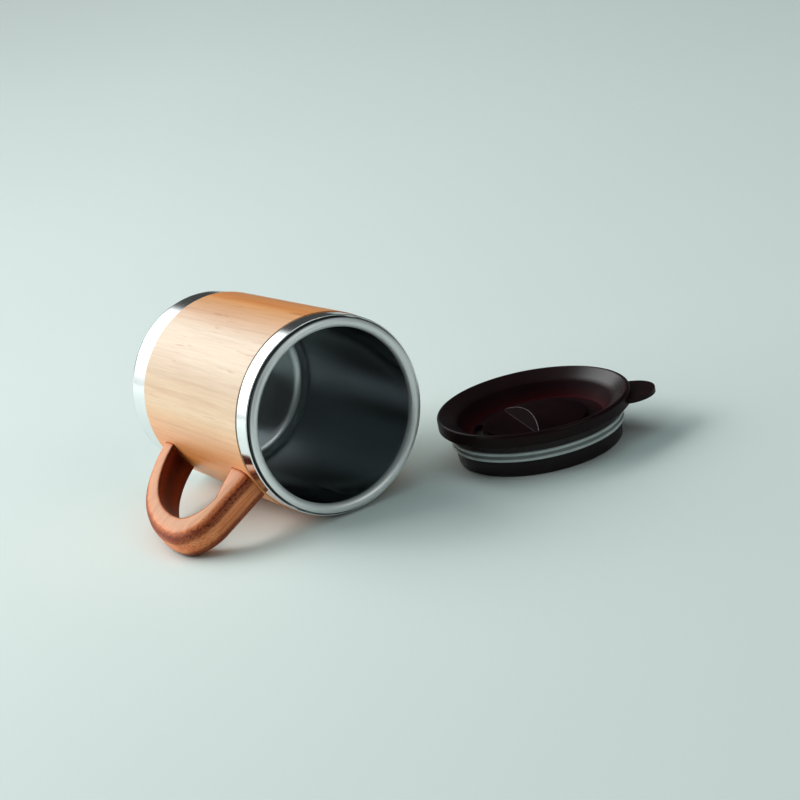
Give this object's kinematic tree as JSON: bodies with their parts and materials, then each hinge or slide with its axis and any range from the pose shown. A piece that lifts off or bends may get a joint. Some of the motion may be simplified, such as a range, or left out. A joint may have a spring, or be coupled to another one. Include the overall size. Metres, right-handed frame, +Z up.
{
  "type": "insulated mug with bamboo sleeve and lid",
  "caption": "Double-wall steel mug in a tapered bamboo sleeve with a wooden ear handle, lying on its side beside its press-in lid with a turning closure.",
  "frame": {"origin": "floor point under the middle of the arrangement, with the mug on its side and the lid flat on the floor", "axes": "+Z up, +X along the lying mug from foot to mouth, +Y from the mug to the lid"},
  "size_m": [0.1562, 0.2008, 0.082],
  "materials": {
    "satin_steel": "satin stainless steel, spun",
    "polished_steel": "mirror-polished stainless steel",
    "bamboo": "satin lacquered bamboo, fine streaks along the axis",
    "handle_wood": "satin oiled red-brown wood with fine grain",
    "screw_steel": "plain steel",
    "lid_plastic": "glossy, very dark brown, faintly see-through",
    "seal_silicone": "translucent silicone",
    "dial_plastic": "glossy, very dark brown",
    "shutter_plastic": "matt black-brown"
  },
  "bodies": {
    "mug": {"inner_cup": "satin_steel", "outer_shell": "polished_steel", "foot_cup": "polished_steel", "bamboo_sleeve": "bamboo", "handle": "handle_wood", "handle_screws": "screw_steel"},
    "lid": {"lid_body": "lid_plastic", "seal_ring": "seal_silicone"},
    "closure": {"dial": "dial_plastic", "shutter": "shutter_plastic", "shutter_screw": "screw_steel"}
  },
  "joints": [
    {"name": "lid_lift", "type": "slide", "parent": "mug", "child": "lid", "axis": [0, 0, 1], "range_m": [0, 0.09]},
    {"name": "dial_turn", "type": "hinge", "parent": "lid", "child": "closure", "pos_m": [0.03786, 0.05678, 0.011], "axis": [0, 0, 1], "range_deg": [0, 60]}
  ]
}
